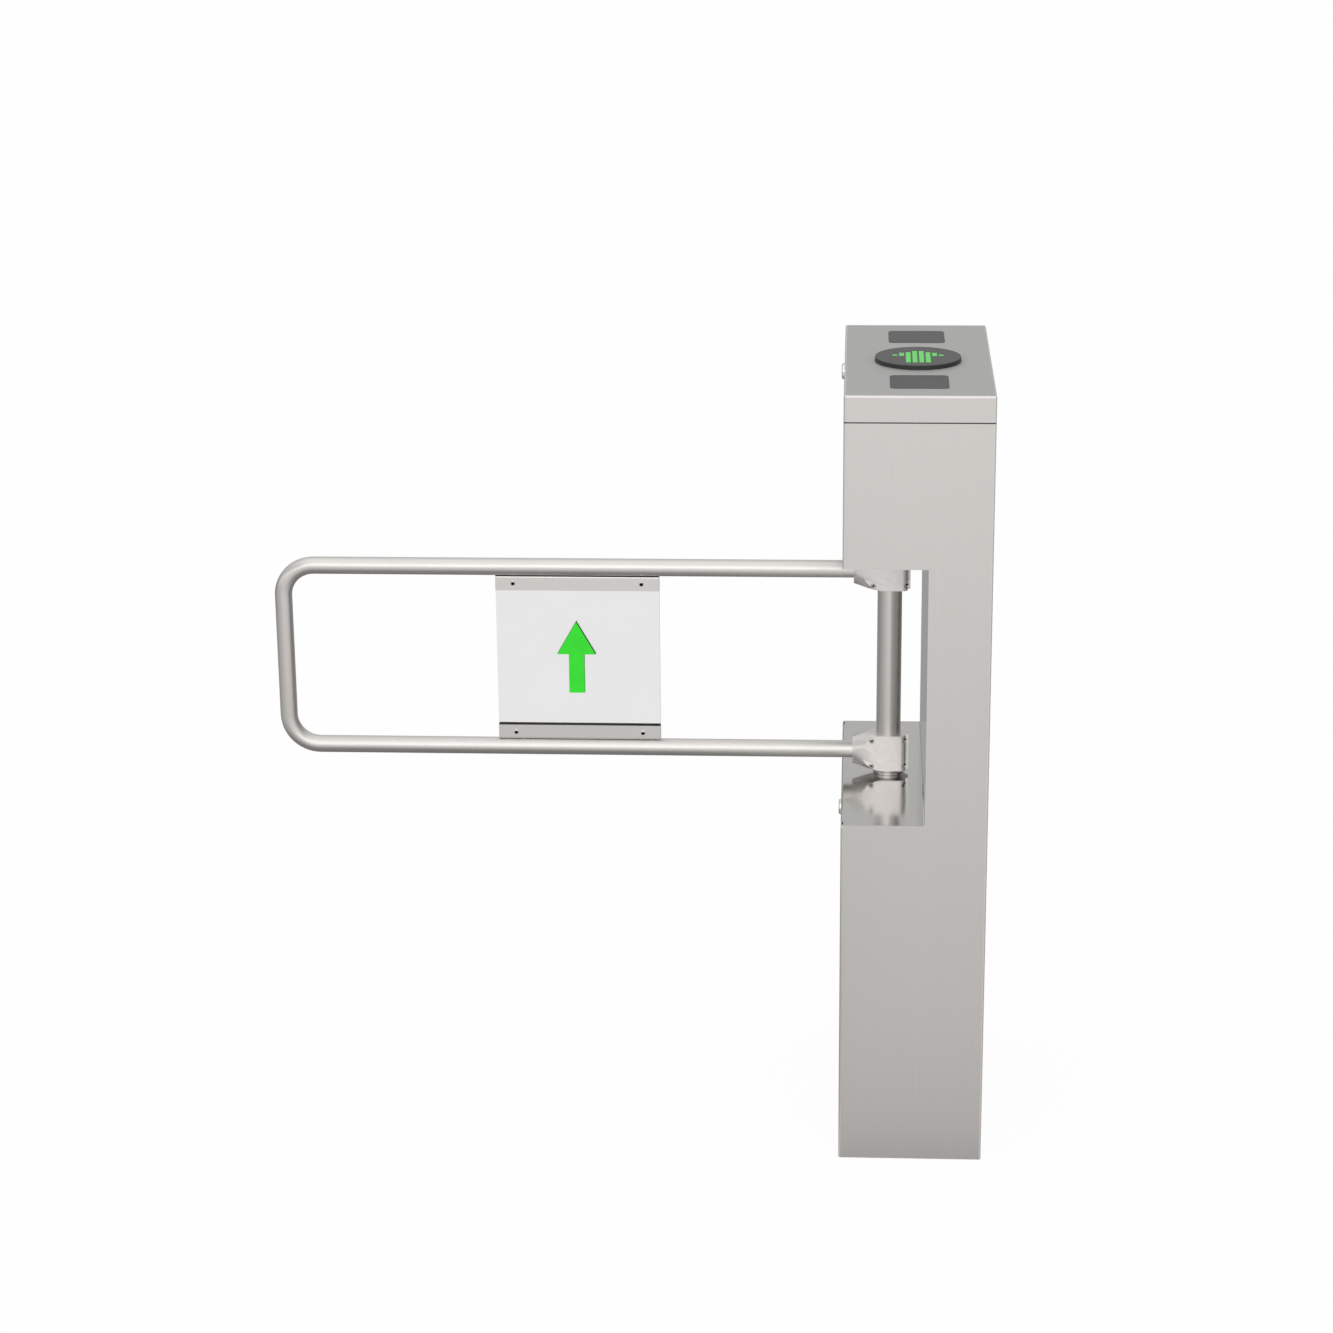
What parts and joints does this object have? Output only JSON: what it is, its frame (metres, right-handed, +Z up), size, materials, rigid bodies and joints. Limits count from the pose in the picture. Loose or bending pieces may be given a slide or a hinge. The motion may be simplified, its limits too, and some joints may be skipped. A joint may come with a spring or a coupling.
{
  "type": "swing barrier gate",
  "caption": "Stainless pedestrian swing barrier: a rectangular post with a side notch, a vertical shaft in the notch, and a looped tube arm with an acrylic infill.",
  "frame": {"origin": "centre of the post's base, on the floor", "axes": "+Z up, +Y away from the viewer along the post's depth, and the closed arm points along -X"},
  "size_m": [0.906, 0.395, 0.9958],
  "materials": {
    "post_sheet": "satin brushed stainless sheet",
    "rim_paint": "black powder coat",
    "inner_sheet": "plain rolled sheet",
    "hinge_steel": "satin",
    "arm_steel": "fine ground stainless tube",
    "clamp_metal": "satin investment casting",
    "channel_steel": "satin sheet",
    "screw_steel": "bright screws",
    "acrylic": "clear polished acrylic sheet",
    "arrow_green": "green cut acrylic",
    "machined_steel": "machined",
    "cast_housing": "painted casting",
    "motor_black": "black enamel",
    "black_plastic": "moulded black",
    "window_grey": "smoked acrylic",
    "light_green": "lit green diffuser",
    "circuit_board": "solder resist",
    "supply_case": "perforated aluminium",
    "terminal_grey": "moulded grey",
    "lock_metal": "polished zinc"
  },
  "bodies": {
    "post": {"outer_wrap": "post_sheet", "notch_liner": "post_sheet", "head_side_panel": "post_sheet", "rim_frame": "rim_paint", "base_plate": "inner_sheet", "door_sill": "post_sheet", "lid_hinge_leaf": "hinge_steel", "door_hinge_leaf": "hinge_steel", "hinge_pins": "hinge_steel", "lock_strikes": "inner_sheet", "lower_bearing_housing": "cast_housing", "lower_bearing": "machined_steel", "upper_bearing_housing": "cast_housing", "upper_bearing": "machined_steel", "top_bearing": "machined_steel", "drive_base_plate": "machined_steel", "drive_top_plate": "machined_steel", "drive_pillars": "machined_steel", "gearbox": "cast_housing", "motor": "motor_black", "motor_brake": "motor_black", "limit_sensors": "black_plastic", "frame_bolts": "screw_steel", "equipment_plate": "inner_sheet", "control_board": "circuit_board", "board_spacers": "screw_steel", "power_supply": "supply_case", "terminal_rail": "inner_sheet", "terminal_blocks": "terminal_grey"},
    "arm": {"arm_shaft": "arm_steel", "thrust_collar": "arm_steel", "arm_tube": "arm_steel", "upper_clamp_front": "clamp_metal", "upper_clamp_rear": "clamp_metal", "lower_clamp_front": "clamp_metal", "lower_clamp_rear": "clamp_metal", "clamp_screws": "screw_steel", "upper_channel": "channel_steel", "lower_channel": "channel_steel", "acrylic_panel": "acrylic", "direction_arrow": "arrow_green", "channel_screws": "screw_steel", "drive_gear": "machined_steel", "limit_flag": "machined_steel"},
    "pinion": {"drive_pinion": "machined_steel"},
    "lid": {"lid_shell": "post_sheet", "lid_hinge_wing": "hinge_steel", "indicator_bezel": "black_plastic", "indicator_lens": "window_grey", "indicator_bars": "light_green", "indicator_board": "circuit_board", "reader_window_front": "window_grey", "reader_window_rear": "window_grey", "reader_modules": "black_plastic", "lid_lock_housing": "lock_metal"},
    "lid_key": {"lid_lock_plug": "lock_metal"},
    "door": {"service_door": "post_sheet", "door_hinge_wing": "hinge_steel", "door_lock_housing": "lock_metal"},
    "door_key": {"door_lock_plug": "lock_metal"}
  },
  "joints": [
    {"name": "arm_swing", "type": "hinge", "parent": "post", "child": "arm", "pos_m": [-0.031, 0, 0.6], "axis": [0, 0, 1], "range_deg": [-90, 90]},
    {"name": "pinion_spin", "type": "hinge", "parent": "post", "child": "pinion", "pos_m": [0.039, 0, 0.81], "axis": [0, 0, 1], "range_deg": [-265, 265]},
    {"name": "lid_open", "type": "hinge", "parent": "post", "child": "lid", "pos_m": [0.09, 0, 0.95725], "axis": [0, 1, 0], "range_deg": [0, 85]},
    {"name": "lid_key_turn", "type": "hinge", "parent": "lid", "child": "lid_key", "pos_m": [-0.09, 0, 0.974], "axis": [-1, 0, 0], "range_deg": [0, 90]},
    {"name": "door_open", "type": "hinge", "parent": "post", "child": "door", "pos_m": [-0.0875, 0, 0.031], "axis": [0, -1, 0], "range_deg": [0, 90]},
    {"name": "door_key_turn", "type": "hinge", "parent": "door", "child": "door_key", "pos_m": [-0.09, 0, 0.401], "axis": [1, 0, 0], "range_deg": [0, 90]}
  ],
  "couplings": [
    {"joint": "pinion_spin", "follows": "arm_swing", "ratio": -2.8889}
  ]
}
